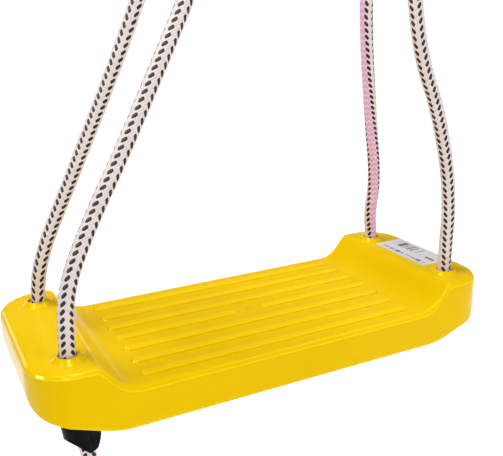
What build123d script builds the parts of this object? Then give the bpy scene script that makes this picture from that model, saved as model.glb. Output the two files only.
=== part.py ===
from build123d import *
from math import atan2, cos, pi, radians, sin, tan
import os

# A child's board swing: a blow-moulded plastic seat on two looped ropes, each hung from a D ring.
# Frame: X along the seat's length, +Y to its back, +Z up. The origin is on the line through the
# straight bars of the two rings, which the swing turns about, over the middle of the seat.
# Sizes are in millimetres. Heights written in the seat's own terms count from its deck, which is
# the level of the rib tops that a child sits on.

os.makedirs("parts", exist_ok=True)

# Driving dimensions
ROPE_D = 12.0
SEAT_LENGTH = 396.5
SEAT_WIDTH = 165.0
SEAT_DEPTH = 33.0  # rib tops to underside
BLOCK_RISE = 19.5  # deck to the top of an end block
HANG_HEIGHT = 360.0  # deck to the swing axis
HOLE_X, HOLE_Y = 168.0, 55.0  # rope holes, from the middle of the seat
RING_X = (-40.0, 134.0)  # where the left and the right rope hang

# Seat shell
WALL = 3.0
CORNER_R = 34.0
RIM_R = 5.0  # rounding of the top rim
RIM_BAND = 0.88  # an edge past this share of the half length or width is on the rim
SOLE_R = 3.0  # rounding of the lower rim
SLOPE_FOOT_X = 134.0
SLOPE_HEAD_X = 152.0
SLOPE_FOOT_R, SLOPE_HEAD_R = 25.0, 8.0
BEVEL_X = 142.0  # the underside rises from here to the ends
BEVEL_RISE = 21.0
BEVEL_R, HEEL_R = 60.0, 14.0
RIB_COUNT, RIB_PITCH, RIB_LENGTH = 7, 21.3, 240.0
RIB_WIDTH, RIB_HEIGHT = 10.0, 1.6
RIB_TAPER, RIB_R = 35.0, 2.0  # slant of a rib's sides in degrees, and rounding along its top
RIB_GAP = 20.5  # break in the middle rib
BLOW_MARK_R, BLOW_MARK_DEPTH = 3.2, 0.6
BOSS_FOOT_R, BOSS_TOP_R, BOSS_HEIGHT = 12.5, 9.0, 2.8
HOLE_R = ROPE_D / 2 + 0.8
HOLE_FOOT_R, HOLE_FOOT_TOP = 8.0, 6.0  # wider below, where the rope leans into its lock
TUBE_R = HOLE_FOOT_R + WALL
POCKET_R, POCKET_ROOF = 21.0, -8.0  # recess under each hole, for a knot or a rope lock
DRAIN_R, DRAIN_X = 1.5, 40.0

# Label
LABEL_X, LABEL_Y = 177.5, 2.0
LABEL_SIZE = (31.0, 72.0)
LABEL_THICKNESS = 0.3
LABEL_CORNER_R = 1.0

# Rings and thimbles
WIRE_R = 4.0
RING_HALF_WIDTH, RING_SIDE, RING_CORNER_R = 25.0, 20.0, 9.0
THIMBLE_BORE_R = WIRE_R + 0.08
GROOVE_R = 7.2  # the rope lies on this
FLANGE_R, FLANGE_T = 15.0, 2.4
GROOVE_WIDTH = ROPE_D + 0.8
WRAP_R = GROOVE_R + ROPE_D / 2  # the rope's middle line over the thimble

# Rope lock, rope knot and end caps
LOCK_WIDTH, LOCK_THICKNESS = 29.0, 20.0
LOCK_TOP, LOCK_SHOULDER, LOCK_TIP = -11.0, -40.0, -55.5
LOCK_TIP_WIDTH = 7.0
LOCK_TURN = 24.0  # degrees about the rope
LOCK_R = 2.5
SEAM = 0.4
KNOT_R, KNOT_HEIGHT, KNOT_ROUND = 15.5, 29.0, 11.0
TAIL_Y, TAIL_RISE = (40.0, 18.0), (-31.0, -36.0)  # the knot's loose end, near end and far end
CAP_LENGTH, CAP_WALL, CAP_END = 16.0, 0.9, 1.2
GRIP_R = ROPE_D / 2 + 0.05  # a bore or groove that a rope lies tight in

DECK = -HANG_HEIGHT
PANEL = -RIB_HEIGHT  # the seat's top between its ribs
HALF_LENGTH, HALF_WIDTH = SEAT_LENGTH / 2, SEAT_WIDTH / 2
ROPE_R = ROPE_D / 2
TINY = 0.01  # shorter than any real step between edges
SIDE = Plane(origin=(0, 0, DECK), x_dir=(1, 0, 0), z_dir=(0, -1, 0))  # length and height


def deck(height):
    """The level plane at a height over the seat's deck."""
    return Plane.XY.offset(DECK + height)


def lower_side_edges(part):
    """The edges along both long sides of the seat's underside, up to the heels."""
    long_sides = part.edges().filter_by(lambda edge: abs(edge.center().Y) > HALF_WIDTH - TINY)
    return long_sides.filter_by(
        lambda edge: edge.center().Z < DECK + PANEL - TINY and edge.bounding_box().size.X > TINY
    )


def seat_body(inset):
    """The seat's outer form, or with an inset the cavity inside its wall."""
    end, sole = HALF_LENGTH - inset, inset - SEAT_DEPTH
    top, panel = BLOCK_RISE - inset, PANEL - inset
    slope = atan2(BLOCK_RISE - PANEL, SLOPE_HEAD_X - SLOPE_FOOT_X)
    shift = inset * tan(slope / 2)  # keeps the inner slope parallel to the outer one
    bevel = BEVEL_RISE / (HALF_LENGTH - BEVEL_X)
    with BuildPart() as body:
        with BuildSketch(SIDE):
            with BuildLine():
                FilletPolyline(
                    (0, sole),
                    (BEVEL_X, sole),
                    (end, sole + bevel * (end - BEVEL_X)),
                    (end, top),
                    radius=[BEVEL_R, HEEL_R - inset],
                )
                FilletPolyline(
                    (end, top),
                    (SLOPE_HEAD_X + shift, top),
                    (SLOPE_FOOT_X + shift, panel),
                    (0, panel),
                    radius=[SLOPE_HEAD_R - inset, SLOPE_FOOT_R + inset],
                )
                Line((0, panel), (0, sole))
            make_face()
            mirror(about=Plane.YZ)
        extrude(amount=HALF_WIDTH - inset, both=True)
        if inset == 0:
            fillet(lower_side_edges(body), SOLE_R)
        with BuildSketch(deck(-SEAT_DEPTH)):
            RectangleRounded(2 * end, SEAT_WIDTH - 2 * inset, CORNER_R - inset)
        extrude(amount=SEAT_DEPTH + BLOCK_RISE, mode=Mode.INTERSECT)
    return body.part


def rim_edges(part):
    """The level and sloping edges around the seat's top."""
    edges = []
    for edge in part.edges():
        middle = edge.center()
        size = edge.bounding_box().size
        near = max(abs(middle.X) / HALF_LENGTH, abs(middle.Y) / HALF_WIDTH) > RIM_BAND
        upright = max(size.X, size.Y) < TINY
        if near and middle.Z > DECK + PANEL - TINY and not upright:
            edges.append(edge)
    return edges


# Seat shell
with BuildPart() as cavity:
    add(seat_body(WALL))
    with BuildSketch(deck(-SEAT_DEPTH)):
        with GridLocations(2 * HOLE_X, 2 * HOLE_Y, 2, 2):
            Circle(TUBE_R)
    extrude(amount=SEAT_DEPTH + BLOCK_RISE, mode=Mode.SUBTRACT)
    with BuildSketch(deck(-SEAT_DEPTH)):
        with GridLocations(2 * HOLE_X, 2 * HOLE_Y, 2, 2):
            Circle(POCKET_R + WALL)
    extrude(amount=SEAT_DEPTH + POCKET_ROOF + WALL, mode=Mode.SUBTRACT)

# Grip ribs, the middle one in two lengths
half_rib = (RIB_LENGTH - RIB_GAP) / 2
with BuildPart() as ribs:
    with BuildSketch(deck(PANEL)):
        with GridLocations(0, RIB_PITCH * (RIB_COUNT + 1) / 2, 1, 2):
            with GridLocations(0, RIB_PITCH, 1, RIB_COUNT // 2):
                SlotOverall(RIB_LENGTH, RIB_WIDTH)
        with GridLocations(RIB_GAP + half_rib, 0, 2, 1):
            SlotOverall(half_rib, RIB_WIDTH)
    extrude(amount=RIB_HEIGHT, taper=RIB_TAPER)
    fillet(ribs.edges().group_by(Axis.Z)[-1], RIB_R)

with BuildPart() as seat_shell:
    add(seat_body(0))
    fillet(rim_edges(seat_shell), RIM_R)
    add(ribs.part)
    with BuildSketch(deck(PANEL)):
        Circle(BLOW_MARK_R)
    extrude(amount=-BLOW_MARK_DEPTH, mode=Mode.SUBTRACT)
    # low cones around the rope holes
    with Locations(deck(BLOCK_RISE + BOSS_HEIGHT / 2)):
        with GridLocations(2 * HOLE_X, 2 * HOLE_Y, 2, 2):
            Cone(BOSS_FOOT_R, BOSS_TOP_R, BOSS_HEIGHT)
    add(cavity.part, mode=Mode.SUBTRACT)
    with BuildSketch(deck(POCKET_ROOF)):
        with GridLocations(2 * HOLE_X, 2 * HOLE_Y, 2, 2):
            Circle(POCKET_R)
    extrude(amount=-SEAT_DEPTH, mode=Mode.SUBTRACT)
    with BuildSketch(deck(POCKET_ROOF)):
        with GridLocations(2 * HOLE_X, 2 * HOLE_Y, 2, 2):
            Circle(HOLE_R)
    extrude(amount=BLOCK_RISE + 2 * BOSS_HEIGHT - POCKET_ROOF, mode=Mode.SUBTRACT)
    with BuildSketch(deck(HOLE_FOOT_TOP)):
        with GridLocations(2 * HOLE_X, 2 * HOLE_Y, 2, 2):
            Circle(HOLE_FOOT_R)
    extrude(amount=POCKET_ROOF - HOLE_FOOT_TOP, mode=Mode.SUBTRACT)
    with BuildSketch(deck(-SEAT_DEPTH)):
        with Locations((DRAIN_X, 0)):
            Circle(DRAIN_R)
    extrude(amount=2 * WALL, mode=Mode.SUBTRACT)

seat_shell.part.label = "seat_shell"
export_step(seat_shell.part, "parts/seat_shell.step")

# Label
with BuildPart() as label:
    with BuildSketch(deck(BLOCK_RISE)):
        with Locations((LABEL_X, LABEL_Y)):
            RectangleRounded(*LABEL_SIZE, LABEL_CORNER_R)
    extrude(amount=LABEL_THICKNESS)
label.part.label = "label"
export_step(label.part, "parts/label.step")


# Rings and thimbles
def hanger_ring(x):
    """A D ring whose straight bar lies on the swing axis."""
    face = Plane(origin=(x, 0, 0), x_dir=(1, 0, 0), z_dir=(0, -1, 0))
    half, side = RING_HALF_WIDTH, RING_SIDE
    with BuildPart() as ring:
        with BuildLine(face) as loop:
            FilletPolyline((half, side), (half, 0), (-half, 0), (-half, side), radius=RING_CORNER_R)
            ThreePointArc((-half, side), (0, side + half), (half, side))
        with BuildSketch(Plane(origin=(x + half, 0, side), z_dir=(0, 0, 1))):
            Circle(WIRE_R)
        sweep(path=loop.wires()[0])
    return ring.part


def thimble(x):
    """The grooved roller between a rope and its ring's bar."""
    with BuildPart() as roller:
        with BuildSketch(Plane(origin=(x, 0, 0), x_dir=(1, 0, 0), z_dir=(0, -1, 0))):
            with Locations((0, (THIMBLE_BORE_R + FLANGE_R) / 2)):
                Rectangle(GROOVE_WIDTH + 2 * FLANGE_T, FLANGE_R - THIMBLE_BORE_R)
            with Locations((0, WRAP_R)):
                Circle(GRIP_R, mode=Mode.SUBTRACT)
        revolve(axis=Axis((x, 0, 0), (1, 0, 0)))
    return roller.part


for side, x in zip(("left", "right"), RING_X):
    for name, piece in (("ring", hanger_ring(x)), ("thimble", thimble(x))):
        piece.label = f"{side}_{name}"
        export_step(piece, f"parts/{piece.label}.step")

# Ropes. Each route starts at the knot under one hole, rises to the thimble, passes over it and
# comes down through the other hole and the rope lock to its loose end. Heights are over the deck.
left_start = [
    (-168, 55, -9),
    (-168, 54.8, 26),
    (-160, 51.7, 64),
    (-136.5, 48.8, 112),
    (-88.5, 43.2, 212),
    (-64, 37.5, 272),
    (-45, 25, 314),
    (-40, 14.5, 345),
]
left_finish = [
    (-40, -14.5, 345),
    (-44, -26, 313),
    (-54.5, -38, 268),
    (-82.5, -43, 218),
    (-117, -46.4, 155),
    (-144, -48.9, 110),
    (-164.5, -51.6, 68),
    (-168, -54.7, 26),
    (-168, -55, 1),
    (-159.2, -55, -66),
    (-157.8, -54, -96),
]
right_start = [
    (168, -55, -9),
    (168, -54.7, 26),
    (174.5, -50.2, 90),
    (160, -46, 160),
    (139.5, -43, 208),
    (133, -38.5, 262),
    (133, -26, 312),
    (134, -14.5, 345),
]
right_finish = [
    (134, 14.5, 345),
    (136, 26, 312),
    (142, 38, 264),
    (147.5, 43, 216),
    (156.5, 46, 150),
    (168, 50.4, 84),
    (164.2, 52.6, 50),
    (168, 54.8, 26),
    (168, 55, 1),
    (159.2, 55, -66),
    (157.8, 54, -96),
]


def over_thimble(x, way):
    """Four points around the top of a thimble, from the side where Y has the sign of way."""
    step = pi / 8
    reach = WRAP_R / cos(step)
    turns = [step * n for n in (1, 3, 5, 7)]
    return [(x, way * reach * cos(turn), HANG_HEIGHT + reach * sin(turn)) for turn in turns]


def corner_radii(points):
    """The largest arc that the two runs at each point allow."""
    radii = []
    for before, here, after in zip(points, points[1:], points[2:]):
        arriving, leaving = here - before, after - here
        half_turn = radians(arriving.get_angle(leaving)) / 2
        radii.append(0.45 * min(arriving.length, leaving.length) / tan(half_turn))
    return radii


def rope(name, heights):
    """A rope's tube: straight runs joined by tangent arcs."""
    points = [Vector(x, y, DECK + height) for x, y, height in heights]
    radii = corner_radii(points)
    with BuildPart() as tube:
        with BuildLine() as route:
            FilletPolyline(*points, radius=radii)
        path = route.wires()[0]
        with BuildSketch(Plane(origin=path @ 0, z_dir=path % 0)):
            Circle(ROPE_R)
        sweep(path=path)
    print(name, "length", round(path.length, 1), "radii", [round(r) for r in radii])
    print("  volume over section times length", tube.part.volume / (pi * ROPE_R**2 * path.length))
    tube.part.label = name
    export_step(tube.part, f"parts/{name}.step")
    return points


left_rope = rope("left_rope", left_start + over_thimble(RING_X[0], 1) + left_finish)
right_rope = rope("right_rope", right_start + over_thimble(RING_X[1], -1) + right_finish)


# Rope locks: two half shells closed round a rope under its hole, with a wedge-shaped foot
def lock_half(points, half):
    """One half of the lock on the stretch of rope between a route's third and second last points."""
    top, foot = points[-3], points[-2]
    along = (top - foot).normalized()
    place = Plane(origin=top, x_dir=Vector(1, 0, 0), z_dir=along).rotated((0, 0, LOCK_TURN))
    front = Plane(origin=top, x_dir=place.x_dir, z_dir=-place.y_dir)
    drop = DECK - top.Z
    with BuildPart() as shell:
        with BuildSketch(place.offset(drop + LOCK_TIP)):
            SlotOverall(LOCK_WIDTH, LOCK_THICKNESS)
        extrude(amount=LOCK_TOP - LOCK_TIP)
        with BuildSketch(front):
            with BuildLine():
                Polyline(
                    (-LOCK_WIDTH / 2, drop + LOCK_TOP),
                    (-LOCK_WIDTH / 2, drop + LOCK_SHOULDER),
                    (-LOCK_TIP_WIDTH / 2, drop + LOCK_TIP),
                    (LOCK_TIP_WIDTH / 2, drop + LOCK_TIP),
                    (LOCK_WIDTH / 2, drop + LOCK_SHOULDER),
                    (LOCK_WIDTH / 2, drop + LOCK_TOP),
                    close=True,
                )
            make_face()
        extrude(amount=LOCK_THICKNESS, both=True, mode=Mode.INTERSECT)
        fillet(shell.edges().filter_by(GeomType.LINE).filter_by(Axis(top, place.y_dir)), LOCK_R)
        with BuildSketch(place.offset(drop + LOCK_TIP)):
            Circle(GRIP_R)
        extrude(amount=LOCK_TOP - LOCK_TIP, mode=Mode.SUBTRACT)
        split(bisect_by=Plane(origin=top + place.x_dir * half * SEAM / 2, z_dir=place.x_dir * half))
    return shell.part


for side, points in (("left", left_rope), ("right", right_rope)):
    for name, half in (("lock_body", -1), ("lock_cap", 1)):
        piece = lock_half(points, half)
        piece.label = f"{side}_{name}"
        export_step(piece, f"parts/{piece.label}.step")


def knot(corner):
    """The stopper knot at a route's start, with its loose end under the seat, and that end's cap."""
    near, far = (
        Vector(corner.X, y if corner.Y > 0 else -y, DECK + height)
        for y, height in zip(TAIL_Y, TAIL_RISE)
    )
    root = Vector(corner.X, corner.Y, near.Z)
    with BuildPart() as ball:
        with BuildSketch(Plane.XY.offset(corner.Z - KNOT_HEIGHT)):
            with Locations((corner.X, corner.Y)):
                Circle(KNOT_R)
        extrude(amount=KNOT_HEIGHT)
        fillet(ball.edges().filter_by(GeomType.CIRCLE), KNOT_ROUND)
        with BuildLine() as tail:
            FilletPolyline(root, near, far, radius=corner_radii([root, near, far]))
        with BuildSketch(Plane(origin=root, z_dir=near - root)):
            Circle(ROPE_R)
        sweep(path=tail.wires()[0])
    return ball.part, end_cap(near, far)


def end_cap(before, end):
    """The sleeve shrunk over a cut rope's end, closed past the end."""
    along = (end - before).normalized()
    mouth = Plane(origin=end - along * (CAP_LENGTH - CAP_END), z_dir=along)
    with BuildPart() as cap:
        with BuildSketch(mouth):
            Circle(ROPE_R + CAP_WALL)
        extrude(amount=CAP_LENGTH)
        fillet(cap.faces().sort_by(Axis(mouth.origin, along))[-1].edges(), CAP_WALL)
        with BuildSketch(mouth):
            Circle(ROPE_R)
        extrude(amount=CAP_LENGTH - CAP_END, mode=Mode.SUBTRACT)
    return cap.part


for side, points in (("left", left_rope), ("right", right_rope)):
    ball, knot_cap = knot(points[0])
    tail_cap = end_cap(points[-2], points[-1])
    for name, piece in (("knot", ball), ("knot_end_cap", knot_cap), ("lock_end_cap", tail_cap)):
        piece.label = f"{side}_{name}"
        export_step(piece, f"parts/{piece.label}.step")
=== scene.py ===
from math import cos, pi, radians, sin

import bpy
import numpy as np
from mathutils import Matrix, Vector


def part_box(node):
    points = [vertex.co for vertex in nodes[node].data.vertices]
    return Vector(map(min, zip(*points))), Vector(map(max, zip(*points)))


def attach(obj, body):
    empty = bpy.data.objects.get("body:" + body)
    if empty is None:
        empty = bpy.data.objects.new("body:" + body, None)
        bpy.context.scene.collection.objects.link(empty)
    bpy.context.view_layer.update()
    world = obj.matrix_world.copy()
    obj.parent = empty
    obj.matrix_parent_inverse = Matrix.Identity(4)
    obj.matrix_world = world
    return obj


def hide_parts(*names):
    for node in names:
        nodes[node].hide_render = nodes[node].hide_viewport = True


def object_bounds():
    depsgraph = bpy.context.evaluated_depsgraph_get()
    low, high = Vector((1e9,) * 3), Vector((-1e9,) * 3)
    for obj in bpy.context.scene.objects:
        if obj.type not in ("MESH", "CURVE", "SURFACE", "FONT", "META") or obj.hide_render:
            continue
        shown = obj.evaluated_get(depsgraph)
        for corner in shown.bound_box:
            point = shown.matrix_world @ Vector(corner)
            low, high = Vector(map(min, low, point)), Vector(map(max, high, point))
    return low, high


# A child's board swing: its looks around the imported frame. Metres, in the frame's own axes:
# the origin is on the swing axis and the seat hangs below it.

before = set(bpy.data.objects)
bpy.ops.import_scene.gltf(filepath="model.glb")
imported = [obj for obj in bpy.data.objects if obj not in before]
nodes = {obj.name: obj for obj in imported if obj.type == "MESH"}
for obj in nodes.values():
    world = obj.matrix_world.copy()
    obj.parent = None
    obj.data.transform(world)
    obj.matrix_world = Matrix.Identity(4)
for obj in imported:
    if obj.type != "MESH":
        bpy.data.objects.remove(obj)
cad_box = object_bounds()

DECK = -0.360  # the top of the ribs, under the swing axis
ROPE_R = 0.0058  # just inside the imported 12 mm tube
HOLE_X, HOLE_Y = 0.168, 0.055  # rope holes, from the middle of the seat


# ---------------------------------------------------------------- camera

AZIMUTH, ELEVATION, ROLL = radians(-26.58), radians(17.39), radians(-1.17)
CAMERA_PLACE = Vector((-0.2496, -0.5068, -0.1107))
LENS = 50.5  # millimetres, on the default 36 mm sensor


def make_camera():
    """The camera at the photograph's viewing angle, rolled a little to the side."""
    back = Vector((sin(AZIMUTH) * cos(ELEVATION), -cos(AZIMUTH) * cos(ELEVATION), sin(ELEVATION)))
    level = Vector((0, 0, 1)).cross(back).normalized()
    upright = back.cross(level)
    right = cos(ROLL) * level + sin(ROLL) * upright
    up = cos(ROLL) * upright - sin(ROLL) * level
    data = bpy.data.cameras.new("camera")
    data.lens = LENS
    camera = bpy.data.objects.new("camera", data)
    bpy.context.scene.collection.objects.link(camera)
    turn = Matrix((right, up, back)).transposed().to_4x4()
    camera.matrix_world = Matrix.Translation(CAMERA_PLACE) @ turn
    bpy.context.scene.camera = camera


make_camera()


# ---------------------------------------------------------------- small helpers


class Nodes:
    """A short way to write a material's nodes."""

    def __init__(self, name):
        self.material = bpy.data.materials.new(name)
        self.material.use_nodes = True
        self.tree = self.material.node_tree
        self.shader = self.tree.nodes["Principled BSDF"]

    def add(self, kind, **settings):
        node = self.tree.nodes.new(kind)
        for key, value in settings.items():
            setattr(node, key, value)
        return node

    def put(self, socket, value):
        if isinstance(value, bpy.types.NodeSocket):
            self.tree.links.new(value, socket)
        else:
            socket.default_value = value

    def set(self, **values):
        """Sets or links the shader's sockets: base_color is Base Color, and so on."""
        for key, value in values.items():
            name = key.replace("_", " ").title().replace("Ior", "IOR")
            self.put(self.shader.inputs[name], value)

    def math(self, operation, *values):
        node = self.add("ShaderNodeMath", operation=operation)
        for socket, value in zip(node.inputs, values):
            self.put(socket, value)
        return node.outputs[0]

    def mix(self, share, a, b):
        node = self.add("ShaderNodeMix", data_type="RGBA")
        self.put(node.inputs[0], share)
        self.put(node.inputs[6], a)
        self.put(node.inputs[7], b)
        return node.outputs[2]

    def noise(self, vector, scale, detail=3.0, roughness=0.5):
        node = self.add("ShaderNodeTexNoise")
        self.put(node.inputs["Vector"], vector)
        node.inputs["Scale"].default_value = scale
        node.inputs["Detail"].default_value = detail
        node.inputs["Roughness"].default_value = roughness
        return node.outputs["Fac"]

    def span(self, value, low, high, to_low=0.0, to_high=1.0):
        node = self.add("ShaderNodeMapRange")
        self.put(node.inputs[0], value)
        for socket, number in zip(node.inputs[1:5], (low, high, to_low, to_high)):
            socket.default_value = number
        return node.outputs[0]

    def position(self):
        """Object coordinates, which are metres in the frame for every piece."""
        return self.add("ShaderNodeTexCoord").outputs["Object"]

    def bump(self, height, distance, strength=1.0, normal=None):
        node = self.add("ShaderNodeBump")
        node.inputs["Strength"].default_value = strength
        node.inputs["Distance"].default_value = distance
        self.put(node.inputs["Height"], height)
        if normal is not None:
            self.put(node.inputs["Normal"], normal)
        return node.outputs["Normal"]


def colour(red, green, blue):
    return (red, green, blue, 1.0)


def darker(main, share):
    return colour(*[part * share for part in main])


def dress(obj, material):
    obj.data.materials.clear()
    obj.data.materials.append(material)


def link(name, data):
    """A new object of the scene that holds a mesh, a light or a camera."""
    obj = bpy.data.objects.new(name, data)
    bpy.context.scene.collection.objects.link(obj)
    return obj


def make_mesh(name, vertices, faces):
    mesh = bpy.data.meshes.new(name)
    mesh.from_pydata(vertices, [], faces)
    mesh.update()
    mesh.shade_smooth()
    return mesh


# ---------------------------------------------------------------- ropes

THIMBLE_WRAP_R = 0.0132  # the rope's middle line over its thimble
RING_X = {"left": -0.040, "right": 0.134}
# each rope's route, as part.py has it: the leg up from its knot, and the leg down to its lock.
# The points between the holes and the thimbles were not chosen by hand: a separate program's
# fit to the photograph gave their X, rounded, and most of their Y come from another's output
ROUTES = {
    "left": (
        [
            (-0.168, 0.055, -0.369),
            (-0.168, 0.0548, -0.334),
            (-0.160, 0.0517, -0.296),
            (-0.1365, 0.0488, -0.248),
            (-0.0885, 0.0432, -0.148),
            (-0.064, 0.0375, -0.088),
            (-0.045, 0.025, -0.046),
            (-0.040, 0.0145, -0.015),
        ],
        [
            (-0.040, -0.0145, -0.015),
            (-0.044, -0.026, -0.047),
            (-0.0545, -0.038, -0.092),
            (-0.0825, -0.043, -0.142),
            (-0.117, -0.0464, -0.205),
            (-0.144, -0.0489, -0.250),
            (-0.1645, -0.0516, -0.292),
            (-0.168, -0.0547, -0.334),
            (-0.168, -0.055, -0.359),
            (-0.1592, -0.055, -0.426),
            (-0.1578, -0.054, -0.456),
        ],
    ),
    "right": (
        [
            (0.168, -0.055, -0.369),
            (0.168, -0.0547, -0.334),
            (0.1745, -0.0502, -0.270),
            (0.160, -0.046, -0.200),
            (0.1395, -0.043, -0.152),
            (0.133, -0.0385, -0.098),
            (0.133, -0.026, -0.048),
            (0.134, -0.0145, -0.015),
        ],
        [
            (0.134, 0.0145, -0.015),
            (0.136, 0.026, -0.048),
            (0.142, 0.038, -0.096),
            (0.1475, 0.043, -0.144),
            (0.1565, 0.046, -0.210),
            (0.168, 0.0504, -0.276),
            (0.1642, 0.0526, -0.310),
            (0.168, 0.0548, -0.334),
            (0.168, 0.055, -0.359),
            (0.1592, 0.055, -0.426),
            (0.1578, 0.054, -0.456),
        ],
    ),
}


def over_thimble(x, way):
    """Four points around the top of a thimble, from the side where Y has the sign of way."""
    step = pi / 8
    reach = THIMBLE_WRAP_R / cos(step)
    turns = [step * n for n in (1, 3, 5, 7)]
    return [(x, way * reach * cos(turn), reach * sin(turn)) for turn in turns]


def smooth_line(points, spacing):
    """Evenly spaced points along the NURBS spline that has these control points."""
    curve = bpy.data.curves.new("route", "CURVE")
    curve.dimensions = "3D"
    curve.resolution_u = 48
    spline = curve.splines.new("NURBS")
    spline.points.add(len(points) - 1)
    for point, place in zip(spline.points, points):
        point.co = (*place, 1.0)
    spline.order_u = 3
    spline.use_endpoint_u = True
    holder = bpy.data.objects.new("route", curve)
    mesh = bpy.data.meshes.new_from_object(holder)
    line = np.array([v.co for v in mesh.vertices])
    bpy.data.objects.remove(holder)
    bpy.data.curves.remove(curve)
    bpy.data.meshes.remove(mesh)
    return even(line, spacing)


def even(line, spacing):
    """The same line with points a fixed distance apart."""
    steps = np.linalg.norm(np.diff(line, axis=0), axis=1)
    line = line[np.concatenate([[True], steps > 1e-9])]
    along = np.concatenate([[0], np.cumsum(np.linalg.norm(np.diff(line, axis=0), axis=1))])
    count = int(round(along[-1] / spacing)) + 1
    places = np.linspace(0, along[-1], count)
    return np.stack([np.interp(places, along, line[:, k]) for k in range(3)], 1)


def carried_frames(line):
    """At each point the tangent and two normals, carried along without twist."""
    tangent = np.gradient(line, axis=0)
    tangent /= np.linalg.norm(tangent, axis=1)[:, None]
    normal = np.zeros_like(tangent)
    first = np.cross(tangent[0], (1.0, 0.0, 0.0))
    normal[0] = first / np.linalg.norm(first)
    for k in range(1, len(line)):
        n = normal[k - 1] - np.dot(normal[k - 1], tangent[k]) * tangent[k]
        normal[k] = n / np.linalg.norm(n)
    return tangent, normal, np.cross(tangent, normal)


COLUMNS = 16  # columns of stitches around the braid, slanting one way and the other in turn
AROUND = 64  # mesh points around a rope
STEP = 0.00064  # and the distance between its rings
RELIEF = 0.00045  # the depth of the grooves
PROUD = 0.00012  # how far the tops of the strands stand out past the rope's radius
STRAND_WIDTH, STRAND_LENGTH = 1.9, 0.93  # more makes a strand's top narrower or shorter
UV_STITCHES = 1000.0  # stitches in one unit of the UVs


def braid_height(u, v):
    """How far the braid stands out, from 0 in its grooves to 1: each strand floats over two
    that cross it, then dives under two. u counts columns around and v counts stitches along."""
    falling, rising = u + v - 0.25, u - v - 0.25
    strand, other = np.floor(falling + 0.5), np.floor(rising + 0.5)
    total = strand + other
    on_top = np.mod(total, 4) < 1.5
    centre = 2 * np.floor(total / 2) + 0.5
    along = np.where(on_top, rising - (centre - strand), falling - (centre - other))
    across = np.where(on_top, falling - strand, rising - other)
    round_top = np.clip(1 - (STRAND_WIDTH * across) ** 2, 0, 1)
    round_ends = np.clip(1 - (STRAND_LENGTH * along) ** 4, 0, 1)
    return np.sqrt(round_top) * round_ends**0.5


def braided_tube(name, line, radius, turn, count):
    """A braided rope along a line. At each point, radius is its size, turn is the angle of the
    first column and count the stitches up to there; the UVs hold columns and stitches."""
    tangent, normal, side = carried_frames(line)
    rings = len(line)
    theta = np.arange(AROUND + 1) / AROUND
    u = theta[None, :] * COLUMNS + np.zeros((rings, 1))
    v = count[:, None] + np.zeros((1, AROUND + 1))
    height = braid_height(np.mod(u[:, :AROUND], COLUMNS), v[:, :AROUND])
    angle = 2 * pi * theta[None, :AROUND] + turn[:, None]
    reach = radius[:, None] + PROUD - RELIEF * (1 - height)
    places = (
        line[:, None, :]
        + (reach * np.cos(angle))[..., None] * normal[:, None, :]
        + (reach * np.sin(angle))[..., None] * side[:, None, :]
    )
    vertices = places.reshape(-1, 3)
    ring, spot = np.meshgrid(np.arange(rings - 1), np.arange(AROUND), indexing="ij")
    nxt = (spot + 1) % AROUND
    here, above = ring * AROUND, (ring + 1) * AROUND
    quads = np.stack([here + spot, here + nxt, above + nxt, above + spot], -1).reshape(-1, 4)
    first_end = list(range(AROUND - 1, -1, -1))
    last_end = list(range((rings - 1) * AROUND, rings * AROUND))
    mesh = make_mesh(name, vertices.tolist(), quads.tolist() + [first_end, last_end])
    layer = mesh.uv_layers.new(name="braid")
    corner_u = np.stack([spot, spot + 1, spot + 1, spot], -1).reshape(-1, 4)
    corner_v = np.stack([ring, ring, ring + 1, ring + 1], -1).reshape(-1, 4)
    uv = np.zeros((len(mesh.loops), 2))
    uv[: quads.size, 0] = (corner_u / AROUND).reshape(-1)
    uv[: quads.size, 1] = (count[corner_v] / UV_STITCHES).reshape(-1)
    layer.data.foreach_set("uv", uv.reshape(-1))
    return link(name, mesh)


def ring_at(line, leg, height):
    """The number of the point at a height on the first or the last leg of a line."""
    half = len(line) // 2
    start = 0 if leg == "first" else half
    return start + int(np.argmin(np.abs(line[start : start + half, 2] - height)))


def facing_turn(line, keys):
    """The angle of the first column's near edge at each point. Each key is a leg, a height
    and where the middle of that column then lies, in degrees to the right as the camera sees it."""
    tangent, normal, side = carried_frames(line)
    eye = np.array(CAMERA_PLACE)
    places, turns = [], []
    for leg, height, degrees in keys:
        k = ring_at(line, leg, height)
        up = tangent[k] if tangent[k][2] > 0 else -tangent[k]
        to_eye = eye - line[k]
        to_eye -= np.dot(to_eye, up) * up
        to_eye /= np.linalg.norm(to_eye)
        right = np.cross(up, to_eye)
        aim = cos(radians(degrees)) * to_eye + sin(radians(degrees)) * right
        angle = np.arctan2(np.dot(aim, side[k]), np.dot(aim, normal[k])) - pi / COLUMNS
        if turns:
            angle = turns[-1] + (angle - turns[-1] + pi) % (2 * pi) - pi
        places.append(k)
        turns.append(angle)
    return np.interp(np.arange(len(line)), places, turns)


def stitch_count(line, keys):
    """How many stitches lie before each point. Each key is a leg, a height and the stitch's length
    there, because the braid is drawn out more in some places than in others."""
    places = [ring_at(line, leg, height) for leg, height, _ in keys]
    lengths = np.interp(np.arange(len(line)), places, [stitch for _, _, stitch in keys])
    steps = np.linalg.norm(np.diff(line, axis=0), axis=1)
    return np.concatenate([[0], np.cumsum(steps / lengths[1:])])


DARK_COLUMNS = (0, 3, 6, 11)  # columns with dark stitches
DASH_LONG, DASH_WIDE = 1.40, 0.75  # half a dark stitch's length and width, in strands
TRACER_COLUMNS = (12, 13, 14, 15)
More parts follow.
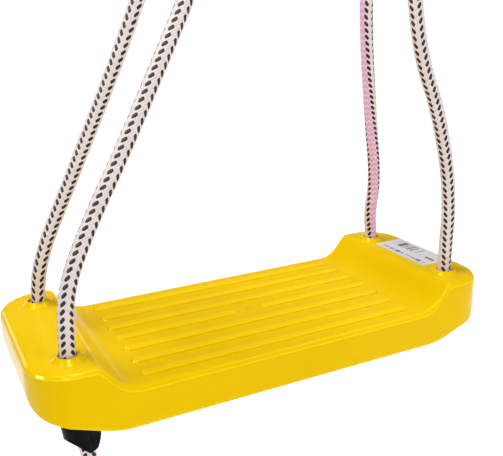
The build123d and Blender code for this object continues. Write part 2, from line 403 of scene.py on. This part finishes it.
# each rope: its main colour; the dark ones, on strands that run one way and the other; and its
# tracer, as a colour, how strong it is, and the colour of every other strand
ROPE_LOOKS = {
    "left": (
        (0.78, 0.70, 0.68),
        ((0.026, 0.001, 0.004), (0.014, 0.003, 0.002)),
        (0.84, 0.68, 0.70, 0.30, 0.74, 0.60, 0.62),
    ),
    "right": (
        (0.78, 0.68, 0.665),
        ((0.026, 0.001, 0.004), (0.016, 0.003, 0.003)),
        (0.82, 0.58, 0.74, 0.95, 0.74, 0.20, 0.50),
    ),
}


def rope_material(name, main, dark, tracer):
    """Braided polypropylene: off-white stitches, dark ones in some columns, a tracer in others."""
    n = Nodes(name)
    split = n.add("ShaderNodeSeparateXYZ")
    n.put(split.inputs[0], n.add("ShaderNodeUVMap", uv_map="braid").outputs[0])
    u = n.math("MULTIPLY", split.outputs[0], float(COLUMNS))
    v = n.math("MULTIPLY", split.outputs[1], UV_STITCHES)
    falling = n.math("ADD", u, n.math("SUBTRACT", v, 0.25))
    rising = n.math("SUBTRACT", u, n.math("ADD", v, 0.25))
    strand = n.math("FLOOR", n.math("ADD", falling, 0.5))
    other = n.math("FLOOR", n.math("ADD", rising, 0.5))
    total = n.math("ADD", strand, other)
    on_top = n.math("LESS_THAN", n.math("FLOORED_MODULO", total, 4.0), 1.5)
    number = n.math("FLOOR", n.math("MULTIPLY", total, 0.5))
    centre = n.math("ADD", n.math("MULTIPLY", number, 2.0), 0.5)
    column = n.math("FLOORED_MODULO", number, float(COLUMNS))

    def either(first, second):
        """The first on the strands that are on top, and the second on the ones that cross them."""
        node = n.add("ShaderNodeMix", data_type="FLOAT")
        n.put(node.inputs[0], on_top)
        n.put(node.inputs[2], second)
        n.put(node.inputs[3], first)
        return node.outputs[0]

    first_along = n.math("SUBTRACT", rising, n.math("SUBTRACT", centre, strand))
    second_along = n.math("SUBTRACT", falling, n.math("SUBTRACT", centre, other))
    along = n.math("ABSOLUTE", either(first_along, second_along))
    first_across = n.math("SUBTRACT", falling, strand)
    second_across = n.math("SUBTRACT", rising, other)
    across = n.math("ABSOLUTE", either(first_across, second_across))
    every_other = n.math("LESS_THAN", n.math("FLOORED_MODULO", either(strand, other), 2.0), 0.5)

    def in_columns(numbers):
        mask = n.math("COMPARE", column, float(numbers[0]), 0.1)
        for k in numbers[1:]:
            mask = n.math("MAXIMUM", mask, n.math("COMPARE", column, float(k), 0.1))
        return mask

    def dashes(number):
        """The dark stitches of one column, a little fatter than the pale ones beside them."""
        lane = falling if number % 2 == 0 else rising
        half = n.math("ADD", n.math("MULTIPLY", lane, 0.5), 0.5)
        offset = n.math("MULTIPLY", n.math("SUBTRACT", n.math("FRACT", half), 0.5), 2.0)
        turned = n.math("ADD", n.math("SUBTRACT", u, number + 0.5), COLUMNS / 2)
        around = n.math("SUBTRACT", n.math("FLOORED_MODULO", turned, float(COLUMNS)), COLUMNS / 2)
        lengthwise = n.math("SUBTRACT", n.math("MULTIPLY", around, 2.0), offset)
        from_middle = n.math("ABSOLUTE", n.math("MULTIPLY", lengthwise, 1 / DASH_LONG))
        from_axis = n.math("ABSOLUTE", n.math("MULTIPLY", offset, 1 / DASH_WIDE))
        long, wide = n.math("POWER", from_middle, 4.0), n.math("POWER", from_axis, 2.6)
        return n.span(n.math("ADD", long, wide), 1.15, 0.80)

    dash = dashes(DARK_COLUMNS[0])
    for dark_column in DARK_COLUMNS[1:]:
        dash = n.math("MAXIMUM", dash, dashes(dark_column))
    tint = n.math("MULTIPLY", in_columns(TRACER_COLUMNS), tracer[3])
    crown_and_groove_shade = n.math("MULTIPLY", n.span(across, 0.5, 0.1), n.span(along, 1.0, 0.55))

    place = n.position()
    dirt = n.noise(place, 55.0, 3.0)
    fibre = n.noise(place, 2600.0, 2.0, 0.7)
    base = n.mix(n.span(dirt, 0.35, 0.7), colour(*main), darker(main, 0.93))
    pink = n.mix(n.math("MULTIPLY", every_other, 0.6), colour(*tracer[:3]), colour(*tracer[4:]))
    base = n.mix(tint, base, pink)
    # the grooves between strands painted darker: painted shade
    base = n.mix(n.span(crown_and_groove_shade, 0.40, 0.0, 0.0, 0.38), base, darker(main, 0.45))
    inked = n.mix(on_top, colour(*dark[1]), colour(*dark[0]))
    shade = n.mix(dash, base, inked)
    worn = n.math("MULTIPLY", n.span(fibre, 0.4, 0.75), 0.10)
    shade = n.mix(worn, shade, darker(main, 0.6))
    n.set(base_color=shade, roughness=n.span(fibre, 0.3, 0.7, 0.50, 0.72))
    n.set(sheen_weight=0.02, sheen_roughness=0.4, specular_ior_level=0.15)
    weave = n.bump(crown_and_groove_shade, 0.0003, 0.5)
    n.set(normal=n.bump(fibre, 0.00010, 0.5, weave))
    return n.material


# where the first column lies: the leg, a height, and degrees to the right as the camera sees it
FACINGS = {
    "left": (
        ("first", -0.30, -35.0),
        ("first", -0.10, -35.0),
        ("last", -0.10, 50.0),
        ("last", -0.30, 45.0),
    ),
    "right": (
        ("first", -0.335, 104.0),
        ("first", -0.30, 85.0),
        ("first", -0.28, 66.0),
        ("first", -0.24, 49.0),
        ("first", -0.21, 28.0),
        ("first", -0.17, 10.0),
        ("first", -0.12, -3.0),
        ("last", -0.10, 99.0),
        ("last", -0.20, 94.0),
        ("last", -0.28, 108.0),
        ("last", -0.335, 130.0),
    ),
}
# a stitch's length: the leg, a height and the length there. The lengths were not chosen by hand:
# a separate program measured the braid in the photograph, and its output was halved and rounded
STITCHES = {
    "left": (
        ("first", -0.30, 0.00300),
        ("first", -0.24, 0.00262),
        ("first", -0.19, 0.00262),
        ("first", -0.12, 0.00312),
        ("last", -0.12, 0.00286),
        ("last", -0.27, 0.00298),
        ("last", -0.32, 0.00280),
    ),
    "right": (
        ("first", -0.32, 0.00262),
        ("first", -0.21, 0.00255),
        ("first", -0.12, 0.00300),
        ("last", -0.12, 0.00290),
        ("last", -0.20, 0.00270),
        ("last", -0.26, 0.00286),
        ("last", -0.32, 0.00270),
    ),
}


def make_ropes():
    """Each side's rope, its middle line and its material."""
    made = {}
    for side, (rising, falling) in ROUTES.items():
        way = 1 if side == "left" else -1
        route = rising + over_thimble(RING_X[side], way) + falling
        line = smooth_line(route, STEP)
        laid = line if side == "left" else line[::-1]  # the right braid runs the other way
        turn = facing_turn(laid, FACINGS[side])
        count = stitch_count(laid, STITCHES[side])
        rope = braided_tube(f"{side}_braided_rope", laid, np.full(len(laid), ROPE_R), turn, count)
        material = rope_material(f"{side}_rope", *ROPE_LOOKS[side])
        dress(rope, material)
        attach(rope, "swing")
        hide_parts(f"{side}_rope")
        made[side] = (rope, line, material)
    return made


ropes = make_ropes()


# ---------------------------------------------------------------- knots under the seat


KNOT_STITCH = 0.0028
KNOT_ROPE_R = 0.0050  # pulled tight, the rope is thinner here
KNOT_WRAP_R, WRAP_TOP, WRAP_FOOT = 0.0097, -0.0068, -0.0172
WRAP_START, WRAP_END, WRAP_STEP = 20, 450, 30  # degrees, seen from above
ENTRY = ((0.0, 0.0, 0.0), (0.0, 0.0, -0.0035), (0.0045, 0.0010, -0.0058))
UNDER = (
    (0.0006, 0.0048, -0.0200),
    (0.0, -0.0030, -0.0216),
    (0.0, -0.0110, -0.0220),
    (0.0, -0.0170, -0.0225),
)
LOOSE_END = ((0.0, -0.0260, -0.0243), (0.0, -0.0365, -0.0268))
CAP_MOUTH, CAP_NECK = 0.016, 0.024  # from the end, where the rope fills its cap and where it thins


def make_knot(side, material):
    """A stopper knot: the rope turned round itself, led across underneath, pulled tight and left
    with a short loose end that points to the middle of the seat."""
    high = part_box(f"{side}_knot")[1]
    way = 1 if side == "left" else -1  # the left knot is at the back
    points = list(ENTRY)
    for degrees in range(WRAP_START, WRAP_END + 1, WRAP_STEP):
        share = (degrees - WRAP_START) / (WRAP_END - WRAP_START)
        height = WRAP_TOP + (WRAP_FOOT - WRAP_TOP) * share
        angle = radians(degrees)
        points.append((KNOT_WRAP_R * cos(angle), KNOT_WRAP_R * sin(angle), height))
    points += UNDER + LOOSE_END
    placed = [(way * (x - HOLE_X), way * (y + HOLE_Y), z + high.z) for x, y, z in points]
    line = even(smooth_line(placed, STEP), STEP)
    count = np.arange(len(line)) * STEP / KNOT_STITCH
    to_end = np.linalg.norm(line - line[-1], axis=1)
    radius = np.interp(to_end, [CAP_MOUTH, CAP_NECK], [ROPE_R, KNOT_ROPE_R])
    knot = braided_tube(f"{side}_stopper_knot", line, radius, np.zeros(len(line)), count)
    dress(knot, material)
    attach(knot, "swing")
    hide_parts(f"{side}_knot")
    return knot


# ---------------------------------------------------------------- materials of the hard pieces


PANEL, BLOCK_TOP = DECK - 0.0016, DECK + 0.0195
SLOPE_FOOT, SLOPE_HEAD = 0.134, 0.152
FOOT_R, HEAD_R = 0.025, 0.008
PARTING_DROP = 0.0030  # the moulding line's distance under the top surface
CURVE_START, CURVE_END = 0.100, 0.170  # from the seat's middle, where the line's drawn height runs
RIBS_END = 0.1212  # just past the ribs, short of the slopes
YELLOW_DEEP, YELLOW_BRIGHT = (0.755, 0.482, 0.0002), (0.78, 0.502, 0.0003)
# rib tops painted lighter as a painted highlight, rib feet painted darker as painted shade
YELLOW_RIB_TOP_HIGHLIGHT, YELLOW_RIB_FOOT_SHADE = (0.83, 0.56, 0.0006), (0.60, 0.33, 0.0001)
# the moulding line's colour: a painted highlight
YELLOW_SEAM_HIGHLIGHT = (0.93, 0.68, 0.02)


def parting_line():
    """Distances from the seat's middle and the moulding line's heights there, along the low part,
    up the slope with its two roundings, and along the end block."""
    tilt = np.arctan2(BLOCK_TOP - PANEL, SLOPE_HEAD - SLOPE_FOOT)
    line = [(CURVE_START, PANEL - PARTING_DROP)]
    for angle in np.linspace(0, tilt, 8):
        reach = FOOT_R + PARTING_DROP
        start = SLOPE_FOOT - FOOT_R * np.tan(tilt / 2)
        line.append((start + reach * sin(angle), PANEL + FOOT_R - reach * cos(angle)))
    for angle in np.linspace(tilt, 0, 6):
        reach = HEAD_R - PARTING_DROP
        end = SLOPE_HEAD + HEAD_R * np.tan(tilt / 2)
        line.append((end - reach * sin(angle), BLOCK_TOP - HEAD_R + reach * cos(angle)))
    return line + [(CURVE_END, BLOCK_TOP - PARTING_DROP)]


def seat_material():
    """Bright yellow blow-moulded polyethylene, satin-gloss, with soft flow marks, a few rubbed
    patches, painted highlight on the rib tops, painted shade at their feet, and the moulding line
    round its top edge, a real ridge with a painted highlight along it."""
    n = Nodes("yellow_plastic")
    place = n.position()
    split = n.add("ShaderNodeSeparateXYZ")
    n.put(split.inputs[0], place)
    curve = n.add("ShaderNodeFloatCurve")
    low, high = PANEL - 2 * PARTING_DROP, BLOCK_TOP
    points = curve.mapping.curves[0].points
    spots = [
        ((x - CURVE_START) / (CURVE_END - CURVE_START), (z - low) / (high - low))
        for x, z in parting_line()
    ]
    points[0].location = spots[0]
    points[1].location = spots[-1]
    for spot in spots[1:-1]:
        points.new(*spot)
    curve.mapping.update()
    off_middle, height = n.math("ABSOLUTE", split.outputs[0]), split.outputs[2]
    n.put(curve.inputs["Value"], n.span(off_middle, CURVE_START, CURVE_END))
    level = n.span(curve.outputs[0], 0.0, 1.0, low, high)
    seam_and_highlight = n.span(n.math("ABSOLUTE", n.math("SUBTRACT", height, level)), 0.0007, 0.0002)

    cloud = n.noise(place, 9.0, 4.0)
    peel = n.noise(place, 140.0, 3.0)
    rubbed = n.noise(place, 24.0, 5.0, 0.65)
    base = n.mix(n.span(cloud, 0.3, 0.7), colour(*YELLOW_DEEP), colour(*YELLOW_BRIGHT))
    # painted light on the ribs: their tops lighter (painted highlight), their feet darker (painted
    # shade)
    ribbed = n.math("LESS_THAN", off_middle, RIBS_END)
    rib_top_highlight = n.math("MULTIPLY", n.span(height, PANEL + 0.0008, DECK - 0.0002), ribbed)
    rise = n.span(height, PANEL + 0.0001, PANEL + 0.0010)
    rib_foot_shade = n.math("MULTIPLY", n.math("MULTIPLY", rise, n.math("SUBTRACT", 1.0, rise)), ribbed)
    base = n.mix(n.math("MULTIPLY", rib_top_highlight, 0.85), base, colour(*YELLOW_RIB_TOP_HIGHLIGHT))
    base = n.mix(n.math("MULTIPLY", rib_foot_shade, 1.5), base, colour(*YELLOW_RIB_FOOT_SHADE))
    # the moulding line: a real ridge from the bump below, and its lighter colour a painted
    # highlight
    base = n.mix(n.math("MULTIPLY", seam_and_highlight, 0.60), base, colour(*YELLOW_SEAM_HIGHLIGHT))
    n.set(base_color=base, roughness=n.span(rubbed, 0.45, 0.75, 0.15, 0.24))
    n.set(ior=1.20, specular_tint=colour(1.0, 0.85, 0.12))
    n.set(subsurface_weight=0.10, subsurface_scale=0.004)
    n.shader.inputs["Subsurface Radius"].default_value = (1.0, 0.6, 0.1)
    waves = n.bump(peel, 0.00005, 0.08)
    n.set(normal=n.bump(seam_and_highlight, 0.00025, 0.5, waves))
    return n.material


def plain_plastic(name, base, rough, ior=1.22, wavy=0.0):
    """Moulded plastic with fine texture and paler worn patches; wavy is how far its surface
    swells and sinks between them."""
    n = Nodes(name)
    place = n.position()
    wear = n.noise(place, 120.0, 6.0, 0.7)
    paler = colour(*[part * 2.2 + 0.002 for part in base])
    shade = n.mix(n.span(wear, 0.55, 0.75, 0.0, 0.25), colour(*base), paler)
    n.set(base_color=shade, roughness=n.span(wear, 0.3, 0.75, rough, rough + 0.14), ior=ior)
    waves = n.bump(n.noise(place, 75.0, 1.0), wavy, 1.0)
    n.set(normal=n.bump(n.noise(place, 900.0), 0.00004, 0.4, waves))
    return n.material


def steel_material():
    """Bright zinc plating, with its faint spangle."""
    n = Nodes("zinc_steel")
    place = n.position()
    spangle = n.noise(place, 260.0, 4.0, 0.6)
    base = n.mix(n.span(spangle, 0.35, 0.65), colour(0.50, 0.51, 0.53), colour(0.58, 0.59, 0.60))
    n.set(base_color=base, roughness=n.span(spangle, 0.3, 0.7, 0.34, 0.42), metallic=1.0)
    n.set(normal=n.bump(spangle, 0.00002, 0.2))
    return n.material


def label_material():
    """A white film with a block of plain bars and two rows of ticks that spell nothing."""
    low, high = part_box("label")
    n = Nodes("label")
    split = n.add("ShaderNodeSeparateXYZ")
    n.put(split.inputs[0], n.position())
    across = n.span(split.outputs[0], low.x, high.x)
    along = n.span(split.outputs[1], high.y, low.y)

    def within(value, start, end):
        after, before = n.math("GREATER_THAN", value, start), n.math("LESS_THAN", value, end)
        return n.math("MULTIPLY", after, before)

    def marks(scale, rows, columns, seed):
        """Bars across a block of rows and columns, each there or not by a fixed noise."""
        combine = n.add("ShaderNodeCombineXYZ")
        combine.inputs[1].default_value = seed
        noise = n.add("ShaderNodeTexWhiteNoise", noise_dimensions="2D")
        n.put(combine.inputs[0], n.math("FLOOR", n.math("MULTIPLY", along, scale)))
        n.put(noise.inputs["Vector"], combine.outputs[0])
        ink = n.math("GREATER_THAN", noise.outputs["Value"], 0.45)
        block = n.math("MULTIPLY", within(across, *rows), within(along, *columns))
        return n.math("MULTIPLY", ink, block)

    bars = marks(70.0, (0.52, 0.90), (0.14, 0.58), 1.0)
    ticks = marks(64.0, (0.12, 0.24), (0.10, 0.94), 3.0)
    more = marks(30.0, (0.50, 0.60), (0.66, 0.94), 5.0)
    ink = n.math("MAXIMUM", bars, n.math("MAXIMUM", ticks, more))
    grain = n.noise(n.position(), 300.0)
    paper = n.mix(grain, colour(0.63, 0.60, 0.62), colour(0.70, 0.67, 0.68))
    printed = n.mix(n.math("MULTIPLY", ink, 0.92), paper, colour(0.02, 0.02, 0.022))
    n.set(base_color=printed, roughness=0.42)
    return n.material


yellow = seat_material()
black = plain_plastic("black_nylon", (0.0010, 0.0009, 0.0010), 0.10, ior=1.15, wavy=0.0020)
sleeve = plain_plastic("end_sleeve", (0.02, 0.02, 0.022), 0.42)
steel = steel_material()

dress(nodes["seat_shell"], yellow)
dress(nodes["label"], label_material())
for side in ("left", "right"):
    dress(nodes[f"{side}_ring"], steel)
    dress(nodes[f"{side}_thimble"], black)
    dress(nodes[f"{side}_lock_body"], black)
    dress(nodes[f"{side}_lock_cap"], black)
    dress(nodes[f"{side}_lock_end_cap"], sleeve)
    dress(nodes[f"{side}_knot_end_cap"], sleeve)
    rope, line, material = ropes[side]
    knot = make_knot(side, material)


# ---------------------------------------------------------------- floor and light

FLOOR_DROP, FLOOR_REACH = 0.25, 150.0
WORLD_LOW, WORLD_BAND, WORLD_TOP = 0.5, 0.20, 0.7  # the surround near the floor, above it, overhead
# each lamp's place, size in metres, power in watts, and whether it makes highlights only
LAMPS = (
    ("overhead", (-0.08, 0.08, 0.85), (0.35, 0.35), 12.0, False),
    ("front_left", (-1.3, -1.0, 0.25), (0.9, 0.9), 6.5, False),
    ("front_right", (0.9, -1.4, 0.15), (0.9, 0.9), 9.0, False),
    ("strip", (0.50, -0.95, 0.12), (1.00, 0.05), 2.5, True),
    ("right_soft", (0.50, 0.05, 0.60), (0.16, 0.45), 5.0, True),
    ("rib_soft", (-0.45, 0.00, 0.60), (0.25, 0.35), 7.0, True),
    ("rib_back", (-0.57, 0.95, 0.01), (0.40, 0.30), 1.4, True),
    ("left_soft", (-1.28, 0.12, 0.42), (0.34, 0.34), 14.0, True),
    ("left_flash", (-1.28, 0.12, 0.40), (0.34, 0.16), 27.0, True),
    ("corner_flash", (-0.54, -0.70, 0.41), (0.13, 0.16), 11.0, True),
    ("top_flash", (-0.16, -0.33, 0.60), (0.12, 0.14), 9.0, True),
)


def make_stage():
    """A plain white floor, which glows a little as a shooting table does."""
    height = cad_box[0].z - FLOOR_DROP
    signs = ((-1, -1), (1, -1), (1, 1), (-1, 1))
    corners = [(x * FLOOR_REACH, y * FLOOR_REACH, height) for x, y in signs]
    floor = link("floor", make_mesh("floor", corners, [(0, 1, 2, 3)]))
    n = Nodes("floor")
    grain = n.noise(n.position(), 40.0)
    base = n.mix(grain, colour(0.50, 0.50, 0.50), colour(0.52, 0.52, 0.52))
    n.set(base_color=base, roughness=0.9)
    n.set(emission_color=colour(1.0, 1.0, 1.0), emission_strength=0.86, specular_ior_level=0.1)
    dress(floor, n.material)


def area_light(name, place, aim, size, power, highlights_only):
    data = bpy.data.lights.new(name, "AREA")
    data.shape = "RECTANGLE"
    data.size, data.size_y = size
    data.energy = power
    lamp = link(name, data)
    lamp.visible_diffuse = not highlights_only
    lamp.location = place
    lamp.rotation_euler = (Vector(aim) - Vector(place)).to_track_quat("-Z", "Y").to_euler()


def make_light():
    """A white surround that lights the object only dimly, as round a shooting table, and lamps."""
    world = bpy.data.worlds.new("studio")
    bpy.context.scene.world = world
    world.use_nodes = True
    tree = world.node_tree
    split = tree.nodes.new("ShaderNodeSeparateXYZ")
    tree.links.new(tree.nodes.new("ShaderNodeTexCoord").outputs["Generated"], split.inputs[0])
    ramp = tree.nodes.new("ShaderNodeValToRGB")
    tree.links.new(split.outputs[2], ramp.inputs[0])
    ramp.color_ramp.elements[0].position = 0.03
    ramp.color_ramp.elements[0].color = colour(WORLD_LOW, WORLD_LOW, WORLD_LOW)
    ramp.color_ramp.elements[1].position = 1.0
    ramp.color_ramp.elements[1].color = colour(WORLD_TOP, WORLD_TOP, WORLD_TOP)
    for place in (0.12, 0.75):
        ramp.color_ramp.elements.new(place).color = colour(WORLD_BAND, WORLD_BAND, WORLD_BAND)
    seen = tree.nodes.new("ShaderNodeMix")
    seen.data_type = "RGBA"
    tree.links.new(tree.nodes.new("ShaderNodeLightPath").outputs["Is Camera Ray"], seen.inputs[0])
    tree.links.new(ramp.outputs[0], seen.inputs[6])
    seen.inputs[7].default_value = colour(1.0, 1.0, 1.0)
    tree.links.new(seen.outputs[2], tree.nodes["Background"].inputs["Color"])
    seat = (0.0, 0.0, DECK)
    for name, place, size, power, highlights_only in LAMPS:
        area_light(name, place, seat, size, power, highlights_only)


make_stage()
make_light()
bpy.context.scene.view_settings.view_transform = "Standard"
